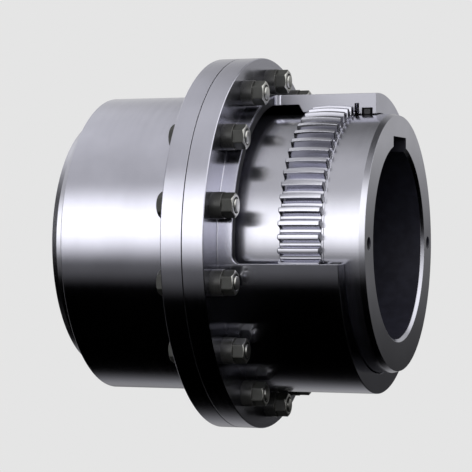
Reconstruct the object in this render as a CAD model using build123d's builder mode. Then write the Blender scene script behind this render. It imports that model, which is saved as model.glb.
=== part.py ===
from build123d import *
import os
from math import atan, cos, degrees, hypot, pi, radians, sin, sqrt, tan

# All sizes are millimetres and degrees. The coupling turns about X, its flanges part at X = 0,
# and the cut-away half lies on the +X side. Both halves are made from the +X one.

# Driving dimensions of the gear mesh.
tooth_count = 66
pitch_radius = 153.45
pressure_angle = 20.0
hub_tooth_thickness = 7.6
backlash = 0.5
tip_clearance = 0.4
tooth_width = 47.0
gear_centre = 111.2

# Driving dimensions of the hubs.
bore_radius = 108.0
bore_chamfer = 3.3
keyway_width = 54.0
keyway_depth = 11.8
hub_gap = 8.0
barrel_step = 0.2
shoulder_run = 1.9
neck_step = 1.1
neck_overhang = 22.0
neck_chamfer_length = 6.2
neck_chamfer_depth = 1.9
hub_edge_chamfer = 0.8
puller_hole_radius = 7.0
puller_hole_depth = 28.0

# Driving dimensions of the sleeves.
flange_thickness = 24.0
gasket_thickness = 1.0
flange_rim = 27.0
sleeve_wall = 11.0
tooth_relief = 0.5
inboard_tooth_run = 13.7
tooth_end_slant = 5.0
outboard_tooth_run = 0.1
runout_groove_width = 5.0
land_width = 3.4
end_wall = 4.1
neck_clearance = 1.4
junction_cone = 0.7
sleeve_edge_chamfer = 0.8

# The seal rings and the grooves that hold them.
seal_width = 9.6
seal_height = 7.6
seal_bore_clearance = 0.05
seal_radial_room = 0.45
seal_side_room = 1.45
seal_corner = 1.9

# The flange bolts, their nuts and the collars under the nuts.
bolt_count = 14
bolt_radius = 8.0
bolt_hole_clearance = 0.25
head_across_flats = 26.0
head_height = 12.0
nut_size_step = 2.0
nut_height = 13.0
collar_margin = 0.64
collar_height = 13.0
fastener_to_sleeve = 0.04
bolt_stick_out = 1.6
thread_clearance = 0.1

# The window cut in the +X sleeve: how far below the axis and how near to it its two planes lie.
window_low = 21.5
window_near = 20.3
window_inset = 16.5
window_corner = 8.0

# Radii of the mesh, worked out from the tooth.
module = 2 * pitch_radius / tooth_count
tooth_pitch_angle = 360.0 / tooth_count
hub_tip_radius = pitch_radius + module
sleeve_tip_radius = pitch_radius - 0.656 * module
sleeve_root_radius = hub_tip_radius + tip_clearance
relief_radius = sleeve_root_radius + tooth_relief
gap_end_radius = pitch_radius - 1.344 * module
gap_floor_radius = hypot(gap_end_radius, tooth_width / 2)
tooth_end_radius = sqrt(hub_tip_radius**2 - (tooth_width / 2) ** 2)

# Radii of the bodies.
barrel_radius = gap_end_radius - barrel_step
neck_radius = barrel_radius - neck_step
end_bore_radius = neck_radius + neck_clearance
seal_outer_radius = neck_radius + seal_bore_clearance + seal_height
seal_groove_radius = seal_outer_radius + seal_radial_room
sleeve_radius = relief_radius + sleeve_wall
nut_across_flats = head_across_flats - nut_size_step
collar_radius = nut_across_flats / sqrt(3) + collar_margin
fastener_reach = max(collar_radius, head_across_flats / sqrt(3))
bolt_circle_radius = sleeve_radius + junction_cone + fastener_reach + fastener_to_sleeve
flange_radius = bolt_circle_radius + flange_rim
keyway_top = bore_radius + keyway_depth
hub_face_radius = neck_radius - neck_chamfer_depth
puller_circle_radius = (bore_radius + bore_chamfer + hub_face_radius) / 2

# Places along the axis.
flange_face = gasket_thickness / 2 + flange_thickness
hub_inner_end = hub_gap / 2
hub_teeth_start = gear_centre - tooth_width / 2
hub_teeth_end = gear_centre + tooth_width / 2
sleeve_teeth_start = hub_teeth_start - inboard_tooth_run
sleeve_teeth_end = hub_teeth_end + outboard_tooth_run
land_start = sleeve_teeth_end + runout_groove_width
seal_groove_start = land_start + land_width
seal_start = seal_groove_start + seal_side_room
seal_groove_end = seal_start + seal_width + seal_side_room
sleeve_end = seal_groove_end + end_wall
hub_outer_end = sleeve_end + neck_overhang
window_start = flange_face + window_inset
collar_end = flange_face + collar_height
nut_end = collar_end + nut_height
bolt_end = nut_end + bolt_stick_out


def gap_half_width(height_from_pitch, width_at_pitch, flank_angle):
    """Half the width of a straight-sided tooth gap, which opens with the height towards its mouth."""
    return width_at_pitch / 2 + height_from_pitch * tan(radians(flank_angle))


# A gap between two hub teeth: one trapezoid swung about the cross axis through the gear's centre,
# so that its floor and flanks come out crowned. The swing ends just clear of the tooth ends.
hub_gap_width = 2 * pi * pitch_radius / tooth_count - hub_tooth_thickness
hub_gap_mouth_radius = hub_tip_radius + 2.0
gap_swing = degrees(atan((tooth_width / 2 + 0.4) / gap_end_radius))
gap_start_plane = Plane(
    origin=(gear_centre, 0, 0),
    x_dir=(0, 1, 0),
    z_dir=(cos(radians(gap_swing)), 0, sin(radians(gap_swing))),
)

with BuildPart() as hub_tooth_gap:
    with BuildSketch(gap_start_plane):
        floor_half = gap_half_width(gap_floor_radius - pitch_radius, hub_gap_width, pressure_angle)
        mouth_half = gap_half_width(hub_gap_mouth_radius - pitch_radius, hub_gap_width, pressure_angle)
        with BuildLine():
            Polyline(
                (-floor_half, gap_floor_radius),
                (floor_half, gap_floor_radius),
                (mouth_half, hub_gap_mouth_radius),
                (-mouth_half, hub_gap_mouth_radius),
                close=True,
            )
        make_face()
    revolve(axis=Axis((gear_centre, 0, 0), (0, 1, 0)), revolution_arc=2 * gap_swing)

# The gap between two sleeve teeth is straight along the axis and ends in the run-out groove.
# Its flanks are parallel to the hub tooth's, so the play is the same from the root to the mouth.
sleeve_gap_width = hub_tooth_thickness + backlash
sleeve_flank_angle = pressure_angle - tooth_pitch_angle / 2
sleeve_gap_mouth_radius = sleeve_tip_radius - 2.0

with BuildPart() as sleeve_tooth_gap:
    with BuildSketch(Plane.YZ.offset(sleeve_teeth_start - tooth_end_slant - 1.0)):
        root_rise = pitch_radius - sleeve_root_radius
        mouth_rise = pitch_radius - sleeve_gap_mouth_radius
        root_half = gap_half_width(root_rise, sleeve_gap_width, sleeve_flank_angle)
        mouth_half = gap_half_width(mouth_rise, sleeve_gap_width, sleeve_flank_angle)
        with BuildLine():
            Polyline(
                (-mouth_half, sleeve_gap_mouth_radius),
                (mouth_half, sleeve_gap_mouth_radius),
                (root_half, sleeve_root_radius),
                (-root_half, sleeve_root_radius),
                close=True,
            )
        make_face()
    gap_run = sleeve_teeth_end - sleeve_teeth_start + tooth_end_slant + 1.0
    extrude(amount=gap_run + runout_groove_width / 2)

# A blind puller hole with the cone that its drill leaves.
with BuildPart() as puller_hole:
    with BuildSketch(Plane.XZ):
        with BuildLine():
            Polyline(
                (hub_outer_end + 1.0, 0),
                (hub_outer_end + 1.0, puller_hole_radius),
                (hub_outer_end - puller_hole_depth, puller_hole_radius),
                (hub_outer_end - puller_hole_depth - 0.6 * puller_hole_radius, 0),
                close=True,
            )
        make_face()
    revolve(axis=Axis.X)

with BuildPart() as right_hub:
    with BuildSketch(Plane.XZ):
        with BuildLine():
            Polyline(
                (hub_teeth_end, tooth_end_radius),
                (hub_teeth_end, barrel_radius),
                (hub_teeth_end + shoulder_run, barrel_radius),
                (hub_teeth_end + shoulder_run, neck_radius),
                (hub_outer_end - neck_chamfer_length, neck_radius),
                (hub_outer_end, hub_face_radius),
                (hub_outer_end, bore_radius + bore_chamfer),
                (hub_outer_end - bore_chamfer, bore_radius),
                (hub_inner_end + bore_chamfer, bore_radius),
                (hub_inner_end, bore_radius + bore_chamfer),
                (hub_inner_end, barrel_radius - hub_edge_chamfer),
                (hub_inner_end + hub_edge_chamfer, barrel_radius),
                (hub_teeth_start, barrel_radius),
                (hub_teeth_start, tooth_end_radius),
            )
            ThreePointArc(
                (hub_teeth_start, tooth_end_radius),
                (gear_centre, hub_tip_radius),
                (hub_teeth_end, tooth_end_radius),
            )
        make_face()
    revolve(axis=Axis.X)
    hub_gap_angles = [tooth_pitch_angle * (number + 0.5) for number in range(tooth_count)]
    add([hub_tooth_gap.part.rotate(Axis.X, angle) for angle in hub_gap_angles], mode=Mode.SUBTRACT)
    with Locations(((hub_inner_end + hub_outer_end) / 2, 0, keyway_top / 2)):
        Box(hub_outer_end - hub_inner_end + 2.0, keyway_width, keyway_top, mode=Mode.SUBTRACT)
    with Locations((0, -puller_circle_radius, 0), (0, puller_circle_radius, 0)):
        add(puller_hole.part, mode=Mode.SUBTRACT)

with BuildPart() as left_hub:
    mirror(right_hub.part, about=Plane.YZ)

# Each sleeve is one forging, given as two solids that meet in the plane of its bolting face:
# this flange ring and the barrel.
with BuildPart() as right_flange:
    with BuildSketch(Plane.XZ):
        with BuildLine():
            Polyline(
                (gasket_thickness / 2, relief_radius),
                (gasket_thickness / 2, flange_radius),
                (flange_face - sleeve_edge_chamfer, flange_radius),
                (flange_face, flange_radius - sleeve_edge_chamfer),
                (flange_face, relief_radius),
                close=True,
            )
        make_face()
    revolve(axis=Axis.X)
    with BuildSketch(Plane.YZ):
        with PolarLocations(bolt_circle_radius, bolt_count, start_angle=90):
            Circle(bolt_radius + bolt_hole_clearance)
    extrude(amount=flange_face, mode=Mode.SUBTRACT)

with BuildPart() as left_flange:
    mirror(right_flange.part, about=Plane.YZ)

# The sleeve's barrel with its internal teeth and grooves, before the window is cut.
with BuildPart() as whole_sleeve:
    with BuildSketch(Plane.XZ):
        with BuildLine():
            Polyline(
                (flange_face, sleeve_radius + junction_cone),
                (flange_face, relief_radius),
                (sleeve_teeth_start - tooth_end_slant, relief_radius),
                (sleeve_teeth_start, sleeve_tip_radius),
                (sleeve_teeth_end, sleeve_tip_radius),
                (sleeve_teeth_end, relief_radius),
                (land_start, relief_radius),
                (land_start, end_bore_radius),
                (seal_groove_start, end_bore_radius),
                (seal_groove_start, seal_groove_radius),
                (seal_groove_end, seal_groove_radius),
                (seal_groove_end, end_bore_radius),
                (sleeve_end, end_bore_radius),
                (sleeve_end, sleeve_radius - sleeve_edge_chamfer),
                (sleeve_end - sleeve_edge_chamfer, sleeve_radius),
                (flange_face + junction_cone, sleeve_radius),
                close=True,
            )
        make_face()
    revolve(axis=Axis.X)
    sleeve_gap_angles = [tooth_pitch_angle * number for number in range(tooth_count)]
    add([sleeve_tooth_gap.part.rotate(Axis.X, angle) for angle in sleeve_gap_angles], mode=Mode.SUBTRACT)

# The window's solid: a box that runs out past the sleeve's end, with two rounded inner corners.
window_reach = sleeve_radius + 20.0

with BuildPart() as window:
    with BuildSketch(Plane.YZ.offset(window_start)):
        with BuildLine():
            Polyline(
                (-window_reach, -window_low),
                (-window_near, -window_low),
                (-window_near, window_reach),
                (-window_reach, window_reach),
                close=True,
            )
        make_face()
    extrude(amount=sleeve_end - window_start + 1.0)
    first_edges = window.edges().filter_by_position(Axis.X, window_start, window_start)
    low_edge = first_edges.filter_by(Axis.Y).sort_by(Axis.Z)[0]
    near_edge = first_edges.filter_by(Axis.Z).sort_by(Axis.Y)[-1]
    fillet([low_edge, near_edge], radius=window_corner)

with BuildPart() as left_sleeve:
    mirror(whole_sleeve.part, about=Plane.YZ)

with BuildPart() as right_sleeve:
    add(whole_sleeve.part)
    add(window.part, mode=Mode.SUBTRACT)

# A seal ring of blunt oblong section, seated on the hub's neck inside the sleeve's groove.
with BuildPart() as whole_seal:
    with BuildSketch(Plane.XZ) as seal_profile:
        with Locations((seal_start + seal_width / 2, seal_outer_radius - seal_height / 2)):
            Rectangle(seal_width, seal_height)
        chamfer(seal_profile.vertices(), length=seal_corner)
    revolve(axis=Axis.X)

with BuildPart() as left_seal:
    mirror(whole_seal.part, about=Plane.YZ)

with BuildPart() as right_seal:
    add(whole_seal.part)
    add(window.part, mode=Mode.SUBTRACT)

# The gasket between the flanges stays a little inside their rims.
with BuildPart() as flange_gasket:
    with BuildSketch(Plane.YZ.offset(-gasket_thickness / 2)):
        Circle(flange_radius - 2 * sleeve_edge_chamfer)
        Circle(relief_radius, mode=Mode.SUBTRACT)
        with PolarLocations(bolt_circle_radius, bolt_count, start_angle=90):
            Circle(bolt_radius + bolt_hole_clearance, mode=Mode.SUBTRACT)
    extrude(amount=gasket_thickness)

# One bolt, nut and collar on the X axis. Their hexagons keep a corner up at every station.
with BuildPart() as one_bolt:
    with BuildSketch(Plane.YZ.offset(-flange_face)):
        RegularPolygon(head_across_flats / 2, 6, major_radius=False, rotation=90)
    extrude(amount=-head_height)
    with BuildSketch(Plane.YZ.offset(-flange_face)):
        Circle(bolt_radius)
    extrude(amount=flange_face + bolt_end)

# The nut's outer end is turned to a cone of 30 degrees, which rounds off the corners.
nut_corner_radius = nut_across_flats / sqrt(3) + 1.0
nut_face_radius = 0.475 * nut_across_flats
nut_cone_height = (nut_corner_radius - nut_face_radius) * tan(radians(30))

with BuildPart() as one_nut:
    with BuildSketch(Plane.YZ.offset(collar_end)):
        RegularPolygon(nut_across_flats / 2, 6, major_radius=False, rotation=90)
    extrude(amount=nut_height)
    with BuildSketch(Plane.XZ):
        with BuildLine():
            Polyline(
                (collar_end, bolt_radius + thread_clearance),
                (collar_end, nut_corner_radius),
                (nut_end - nut_cone_height, nut_corner_radius),
                (nut_end, nut_face_radius),
                (nut_end, bolt_radius + thread_clearance),
                close=True,
            )
        make_face()
    revolve(axis=Axis.X, mode=Mode.INTERSECT)

with BuildPart() as one_collar:
    with BuildSketch(Plane.YZ.offset(flange_face)):
        Circle(collar_radius)
        Circle(bolt_radius + bolt_hole_clearance, mode=Mode.SUBTRACT)
    extrude(amount=collar_height)

# The stations on the bolt circle, the first one at the top.
station_angles = [radians(90 + 360 / bolt_count * number) for number in range(bolt_count)]
stations = [(0, bolt_circle_radius * cos(turn), bolt_circle_radius * sin(turn)) for turn in station_angles]

with BuildPart() as hex_nuts:
    with Locations(*stations):
        add(one_nut.part)

with BuildPart() as spacer_collars:
    with Locations(*stations):
        add(one_collar.part)

os.makedirs("parts", exist_ok=True)

left_hub.part.label = "left_hub"
export_step(left_hub.part, "parts/left_hub.step")
right_hub.part.label = "right_hub"
export_step(right_hub.part, "parts/right_hub.step")
left_flange.part.label = "left_flange"
export_step(left_flange.part, "parts/left_flange.step")
right_flange.part.label = "right_flange"
export_step(right_flange.part, "parts/right_flange.step")
left_sleeve.part.label = "left_sleeve"
export_step(left_sleeve.part, "parts/left_sleeve.step")
right_sleeve.part.label = "right_sleeve"
export_step(right_sleeve.part, "parts/right_sleeve.step")
left_seal.part.label = "left_seal"
export_step(left_seal.part, "parts/left_seal.step")
right_seal.part.label = "right_seal"
export_step(right_seal.part, "parts/right_seal.step")
flange_gasket.part.label = "flange_gasket"
export_step(flange_gasket.part, "parts/flange_gasket.step")
hex_nuts.part.label = "hex_nuts"
export_step(hex_nuts.part, "parts/hex_nuts.step")
spacer_collars.part.label = "spacer_collars"
export_step(spacer_collars.part, "parts/spacer_collars.step")

for number, station in enumerate(stations, start=1):
    with BuildPart() as flange_bolt:
        with Locations(station):
            add(one_bolt.part)
    flange_bolt.part.label = f"flange_bolt_{number:02d}"
    export_step(flange_bolt.part, f"parts/flange_bolt_{number:02d}.step")
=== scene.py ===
"""Looks of a flanged gear coupling with a window cut in one sleeve, built around its CAD frame."""

import logging
import math
from collections.abc import Callable
from dataclasses import dataclass, field
from enum import Enum, IntEnum

import bmesh
import bpy
import numpy as np
from mathutils.geometry import delaunay_2d_cdt
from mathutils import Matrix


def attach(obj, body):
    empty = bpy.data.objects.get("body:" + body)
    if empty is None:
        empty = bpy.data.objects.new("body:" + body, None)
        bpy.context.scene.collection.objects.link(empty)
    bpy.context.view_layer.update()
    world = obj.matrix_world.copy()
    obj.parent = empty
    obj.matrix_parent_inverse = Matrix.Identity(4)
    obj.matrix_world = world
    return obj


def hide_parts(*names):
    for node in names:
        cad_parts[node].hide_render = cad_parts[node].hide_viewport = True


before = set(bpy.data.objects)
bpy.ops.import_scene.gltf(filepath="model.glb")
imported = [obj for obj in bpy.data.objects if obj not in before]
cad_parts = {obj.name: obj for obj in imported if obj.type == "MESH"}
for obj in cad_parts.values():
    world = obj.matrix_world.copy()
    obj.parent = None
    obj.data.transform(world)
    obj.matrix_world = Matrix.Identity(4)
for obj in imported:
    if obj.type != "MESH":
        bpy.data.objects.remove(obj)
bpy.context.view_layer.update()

log = logging.getLogger("gear_coupling")

MM = 0.001
FULL_TURN = 2.0 * math.pi


# Shapes. Sizes are in millimetres until a piece is made. Every shape turns about X or a line
# parallel to it, and angles run from +Y towards +Z.

def bent(
    before: np.ndarray, corner: np.ndarray, after: np.ndarray, cut: np.ndarray | float, steps: int
) -> np.ndarray:
    """Rounds corners in a plane.

    A corner P becomes the curve (1-t)^2 A + 2t(1-t) P + t^2 C, where A and C lie the cut's length from
    P towards the points before and after it.

    Args:
        before: Points before the corners, (n, 2).
        corner: The corners, (n, 2).
        after: Points after the corners, (n, 2).
        cut: Length taken off at each corner, one for all or (n, 1).
        steps: Pieces that each curve has.

    Returns:
        The curves, (n, steps + 1, 2).
    """
    ways = [end - corner for end in (before, after)]
    near, far = (corner + way / np.linalg.norm(way, axis=1)[:, None] * cut for way in ways)
    t = np.linspace(0.0, 1.0, steps + 1)[None, :, None]
    return (1 - t) ** 2 * near[:, None] + 2 * t * (1 - t) * corner[:, None] + t**2 * far[:, None]


def rounded_corners(path: np.ndarray, cut: float, steps: int = 3) -> np.ndarray:
    """Rounds every corner of a closed path of points (n, 2) by the cut's length, in so many steps."""
    return bent(np.roll(path, 1, axis=0), path, np.roll(path, -1, axis=0), cut, steps).reshape(-1, 2)


def turned(profile: np.ndarray, angles: np.ndarray, centre: tuple[float, float] = (0.0, 0.0)) -> np.ndarray:
    """Carries a profile round a line parallel to X.

    A profile point (x, r) at angle a lands at (x, cy + r cos a, cz + r sin a).

    Args:
        profile: Points (x, r), (n, 2), or (n, m, 2) where they differ from angle to angle.
        angles: Angles in radians, (m,) or (n, m).
        centre: The line's y and z.

    Returns:
        A grid of points, (n, m, 3).
    """
    if profile.ndim == 2:
        profile = profile[:, None, :]
    x, r, a = np.broadcast_arrays(profile[..., 0], profile[..., 1], np.asarray(angles, float))
    return np.stack([x, centre[0] + r * np.cos(a), centre[1] + r * np.sin(a)], axis=-1)


def even_angles(count: int) -> np.ndarray:
    """Evenly spaced angles of one full turn, starting at zero."""
    return np.arange(count) * (FULL_TURN / count)


def hexagon_angles() -> np.ndarray:
    """Angles round a hexagon that stands on a corner, closer together at its corners."""
    steps = np.radians([0.0, 1.2, 6.0, 12.0, 18.0, 24.0, 30.0, 36.0, 42.0, 48.0, 54.0, 58.8])
    return (FULL_TURN / 4 + even_angles(6)[:, None] + steps[None]).reshape(-1)


def hexagon_radius(angles: np.ndarray, across_flats: float, corner_trim: float) -> np.ndarray:
    """Radius of a hexagon that stands on a corner, with its corners worn to a circle.

    The radius is the apothem over cos b, where b is the angle from the nearest flat's middle, and no
    more than the corner's own radius less the trim.

    Args:
        angles: Angles in radians.
        across_flats: Width over two flats.
        corner_trim: How much the corners lose.

    Returns:
        A radius for each angle.
    """
    sixth = FULL_TURN / 6
    from_flat = np.mod(angles - FULL_TURN / 4 + 1e-9, sixth) - sixth / 2
    straight = across_flats / 2 / np.cos(from_flat)
    return np.minimum(straight, across_flats / math.sqrt(3) - corner_trim)


@dataclass
class Skin:
    """The surface of one piece, gathered patch by patch in millimetres."""

    points: list[np.ndarray] = field(default_factory=list)
    faces: list[np.ndarray] = field(default_factory=list)
    looks: list[np.ndarray] = field(default_factory=list)
    count: int = 0

    def patch(self, points: np.ndarray, faces: np.ndarray, look: np.ndarray | int = 0) -> None:
        """Adds points and the faces between them.

        Args:
            points: The patch's points, (n, 3).
            faces: Numbers of the patch's own points, (m, 3) or (m, 4).
            look: Number of the piece's finish that the faces take, one for all or one each.
        """
        self.points.append(points)
        self.faces.append(faces + self.count)
        self.looks.append(np.broadcast_to(look, len(faces)))
        self.count += len(points)

    def grid(
        self,
        points: np.ndarray,
        wrap_rows: bool = False,
        wrap_columns: bool = True,
        look: np.ndarray | int = 0,
    ) -> None:
        """Adds a grid of points as four-sided faces.

        Args:
            points: Rows of points, (n, m, 3).
            wrap_rows: Whether the last row joins the first.
            wrap_columns: Whether the last column joins the first.
            look: Number of the finish, one for all faces or one for each row and column of them.
        """
        rows, columns = points.shape[:2]
        numbers = np.arange(rows * columns).reshape(rows, columns)
        if wrap_rows:
            numbers = np.concatenate([numbers, numbers[:1]], axis=0)
        if wrap_columns:
            numbers = np.concatenate([numbers, numbers[:, :1]], axis=1)
        faces = np.stack([numbers[:-1, :-1], numbers[1:, :-1], numbers[1:, 1:], numbers[:-1, 1:]], axis=-1)
        each = np.broadcast_to(look, faces.shape[:2]).reshape(-1)
        self.patch(points.reshape(-1, 3), faces.reshape(-1, 4), each)

    def flat_face(self, x: float, loops: list[np.ndarray]) -> None:
        """Adds a flat face across X, filled between closed loops of points.

        The triangles are the constrained Delaunay ones of the loops. Those that lie in a hole belong
        to two loops at once and are left out.

        Args:
            x: Where the face lies.
            loops: Closed loops of (y, z) at rising angles, the outline first and then the holes.
        """
        starts = np.cumsum([0] + [len(loop) for loop in loops])
        rings = [np.arange(start, stop).tolist() for start, stop in zip(starts[:-1], starts[1:])]
        spots = np.concatenate(loops).tolist()
        spots, _, triangles, _, _, owners = delaunay_2d_cdt(spots, [], rings, 1, 1e-6)
        solid = np.array([len(owner) for owner in owners]) == 1
        places = np.insert(np.array(spots), 0, x, axis=1)
        self.patch(places, np.array(triangles)[solid])

    def mirrored(self) -> "Skin":
        """The same surface on the other side of X = 0."""
        flipped = [points * (-1.0, 1.0, 1.0) for points in self.points]
        return Skin(flipped, list(self.faces), list(self.looks), self.count)

    def piece(self, name: str, *finishes: "Finish", smooth_below: float = 32.0) -> bpy.types.Object:
        """Makes the piece, with its seams merged and its faces turned outwards.

        Args:
            name: The piece's name.
            *finishes: Its finishes, in the order that the faces number them.
            smooth_below: Edges that turn by more degrees than this stay sharp.

        Returns:
            The new object.
        """
        points = np.concatenate(self.points) * MM
        sizes = np.concatenate([np.full(len(faces), faces.shape[1]) for faces in self.faces])
        corners = np.concatenate([faces.reshape(-1) for faces in self.faces])
        mesh = bpy.data.meshes.new(name)
        mesh.vertices.add(len(points))
        mesh.vertices.foreach_set("co", points.reshape(-1))
        mesh.loops.add(len(corners))
        mesh.loops.foreach_set("vertex_index", corners)
        mesh.polygons.add(len(sizes))
        mesh.polygons.foreach_set("loop_start", np.cumsum(sizes) - sizes)
        mesh.polygons.foreach_set("material_index", np.concatenate(self.looks).astype(np.int32))
        mesh.update(calc_edges=True)
        work = bmesh.new()
        work.from_mesh(mesh)
        bmesh.ops.remove_doubles(work, verts=work.verts, dist=2e-6)
        bmesh.ops.recalc_face_normals(work, faces=work.faces)
        work.to_mesh(mesh)
        work.free()
        mesh.shade_smooth()
        mesh.set_sharp_from_angle(angle=math.radians(smooth_below))
        for finish in finishes:
            mesh.materials.append(finish.material())
        piece = bpy.data.objects.new(name, mesh)
        bpy.context.scene.collection.objects.link(piece)
        return piece


# Places that several pieces share

@dataclass(frozen=True)
class Places:
    """Places along the axis and radii that several pieces share, in millimetres."""

    flange_face: float = 24.5
    window_low: float = 21.5
    window_near: float = 20.3
    bolt_circle: float = 185.751
    bolt_count: int = 14

    def stations(self) -> np.ndarray:
        """The bolts' places (y, z) on the bolt circle, the first one at the top."""
        turn = FULL_TURN / 4 + even_angles(self.bolt_count)
        return self.bolt_circle * np.stack([np.cos(turn), np.sin(turn)], axis=1)


# Shaders

Colour = tuple[float, float, float]
Socket = bpy.types.NodeSocket


class Sheet:
    """A node tree being filled, with short ways to add and join nodes."""

    def __init__(self, tree: bpy.types.NodeTree) -> None:
        """Keeps the tree of a material, a world or a group, and empties it."""
        self.tree = tree
        tree.nodes.clear()

    def add(self, kind: str, inputs: dict | None = None, **settings) -> bpy.types.Node:
        """Adds a node, sets its properties and fills or joins its inputs.

        Args:
            kind: The node's type without its ShaderNode prefix, or a full type name.
            inputs: Values or output sockets by input name or number.
            **settings: Properties of the node itself.

        Returns:
            The new node.
        """
        full_name = kind if kind.startswith("Node") else f"ShaderNode{kind}"
        node = self.tree.nodes.new(full_name)
        for name, value in settings.items():
            setattr(node, name, value)
        for key, value in (inputs or {}).items():
            if isinstance(value, Socket):
                self.tree.links.new(value, node.inputs[key])
            else:
                node.inputs[key].default_value = value
        return node

    def math(self, operation: str, *values: Socket | float) -> Socket:
        """Adds a Math node on up to three values or sockets and returns its result."""
        return self.add("Math", dict(enumerate(values)), operation=operation).outputs[0]

    def along(self, operation: str, *values: Socket) -> bpy.types.Node:
        """Adds a Vector Math node on one or two sockets."""
        return self.add("VectorMath", dict(enumerate(values)), operation=operation)

    def parts(self, vector: Socket) -> list[Socket]:
        """The x, y and z of a vector."""
        return list(self.add("SeparateXYZ", {0: vector}).outputs)

    def from_axis(self, parts: list[Socket]) -> Socket:
        """Distance from the coupling's axis of a place given by its x, y and z."""
        across = self.add("CombineXYZ", {1: parts[1], 2: parts[2]})
        return self.along("LENGTH", across.outputs[0]).outputs["Value"]

    def remap(
        self, value: Socket, low: float, high: float, to_low: float = 0.0, to_high: float = 1.0
    ) -> Socket:
        """Maps a range smoothly onto another, level past its ends.

        Args:
            value: Socket to map.
            low: Start of the range read.
            high: End of the range read.
            to_low: Result at low.
            to_high: Result at high.

        Returns:
            The mapped value's socket.
        """
        ends = {0: value, 1: low, 2: high, 3: to_low, 4: to_high}
        return self.add("MapRange", ends, interpolation_type="SMOOTHSTEP").outputs[0]

    def spread(self, noise: bpy.types.Node) -> Socket:
        """A noise drawn out from its usual middle range to all of 0 to 1."""
        return self.remap(noise.outputs[0], 0.3, 0.7)

    def blend(self, share: Socket, low: Socket | float, high: Socket | float) -> Socket:
        """Blends two numbers, the first at share 0 and the second at share 1."""
        return self.add("Mix", {0: share, 2: low, 3: high}).outputs[0]

    def tone(self, share: Socket, low: Socket | Colour, high: Socket | Colour) -> Socket:
        """Blends two colours, the first at share 0 and the second at share 1."""
        ends = [value if isinstance(value, Socket) else (*value, 1.0) for value in (low, high)]
        return self.add("Mix", {0: share, 6: ends[0], 7: ends[1]}, data_type="RGBA").outputs[2]

    def bump(self, height: Socket, strength: float, distance: float, normal: Socket | None = None) -> Socket:
        """Raises a pattern on a surface.

        Args:
            height: The pattern, from 0 to 1.
            strength: How much of it counts.
            distance: Its height in metres.
            normal: The normal that it lies on, or None for the surface's own one.

        Returns:
            The bumped normal.
        """
        inputs = {"Height": height, "Strength": strength, "Distance": distance}
        if normal is not None:
            inputs["Normal"] = normal
        return self.add("Bump", inputs).outputs[0]


@dataclass(frozen=True)
class Effect:
    """A shader group that materials share, made at its first use.

    Its sockets named Place and Normal are vectors and the others are plain numbers. The fill function
    takes the group's sheet and its input sockets, and returns the sockets that go out.
    """

    name: str
    inputs: tuple[str, ...]
    outputs: tuple[str, ...]
    fill: Callable[..., tuple[Socket, ...]]

    def tree(self) -> bpy.types.NodeTree:
        """Finds the group, or makes it with its named sockets.

        Returns:
            The group.
        """
        known = bpy.data.node_groups.get(self.name)
        if known:
            return known
        tree = bpy.data.node_groups.new(self.name, "ShaderNodeTree")
        for way, labels in (("INPUT", self.inputs), ("OUTPUT", self.outputs)):
            for label in labels:
                kind = "NodeSocketVector" if label in ("Place", "Normal") else "NodeSocketFloat"
                tree.interface.new_socket(label, in_out=way, socket_type=kind)
        sheet = Sheet(tree)
        source = sheet.add("NodeGroupInput")
        results = self.fill(sheet, *(source.outputs[label] for label in self.inputs))
        sheet.add("NodeGroupOutput", dict(enumerate(results)))
        return tree

    def on(self, sheet: Sheet, *values: Socket | float) -> list[Socket]:
        """Places the group on a material's sheet with its own values and returns its outputs."""
        return list(sheet.add("Group", dict(enumerate(values)), node_tree=self.tree()).outputs)


def fill_lathe_rings(sheet: Sheet, place: Socket, pitch: Socket) -> tuple[Socket, ...]:
    """Fine rings about X: noise over x plus the distance from the axis, in steps of the pitch.

    Args:
        sheet: The group's sheet.
        place: Object coordinates.
        pitch: Width of a ring.

    Returns:
        The height of the fine rings, and a broader banding.
    """
    band_share = 0.11
    parts = sheet.parts(place)
    run = sheet.math("ADD", parts[0], sheet.from_axis(parts))
    steps = sheet.math("DIVIDE", run, pitch)
    fine = sheet.add("TexNoise", {"W": steps, "Scale": 1.0, "Detail": 1.0}, noise_dimensions="1D")
    broad = sheet.add("TexNoise", {"W": steps, "Scale": band_share, "Detail": 2.0}, noise_dimensions="1D")
    return fine.outputs[0], sheet.spread(broad)


def fill_soft_patches(sheet: Sheet, place: Socket, size: Socket) -> tuple[Socket, ...]:
    """Soft cloudy patches of a given size, as handling and oil leave them.

    Args:
        sheet: The group's sheet.
        place: Object coordinates.
        size: Size of a patch.

    Returns:
        The patches' level.
    """
    finer = sheet.math("DIVIDE", 1.0, size)
    return (sheet.spread(sheet.add("TexNoise", {"Vector": place, "Scale": finer, "Detail": 3.0})),)


def fill_edge_wear_and_sheen(sheet: Sheet, place: Socket, radius: Socket) -> tuple[Socket, ...]:
    """Softly broken, worn edges, a mask for wear and for painted edge highlights: how far the surface's own
    normal leans from that of a rounded edge.

    Args:
        sheet: The group's sheet.
        place: Object coordinates.
        radius: Radius of the rounding.

    Returns:
        The mask of the worn edges, which also carries painted highlights, and the rounded normal.
    """
    unworn, worn = 0.995, 0.90
    chips_per_metre, chip_low, chip_high, least_wear = 900.0, 0.25, 0.6, 0.55
    rounded = sheet.add("Bevel", {"Radius": radius}, samples=4).outputs[0]
    match = sheet.along("DOT_PRODUCT", rounded, sheet.add("NewGeometry").outputs["Normal"])
    lean = sheet.remap(match.outputs["Value"], unworn, worn)
    chips = sheet.add("TexNoise", {"Vector": place, "Scale": chips_per_metre, "Detail": 2.0})
    wear = sheet.remap(chips.outputs[0], chip_low, chip_high, least_wear, 1.0)
    return sheet.math("MULTIPLY", lean, wear), rounded


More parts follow.
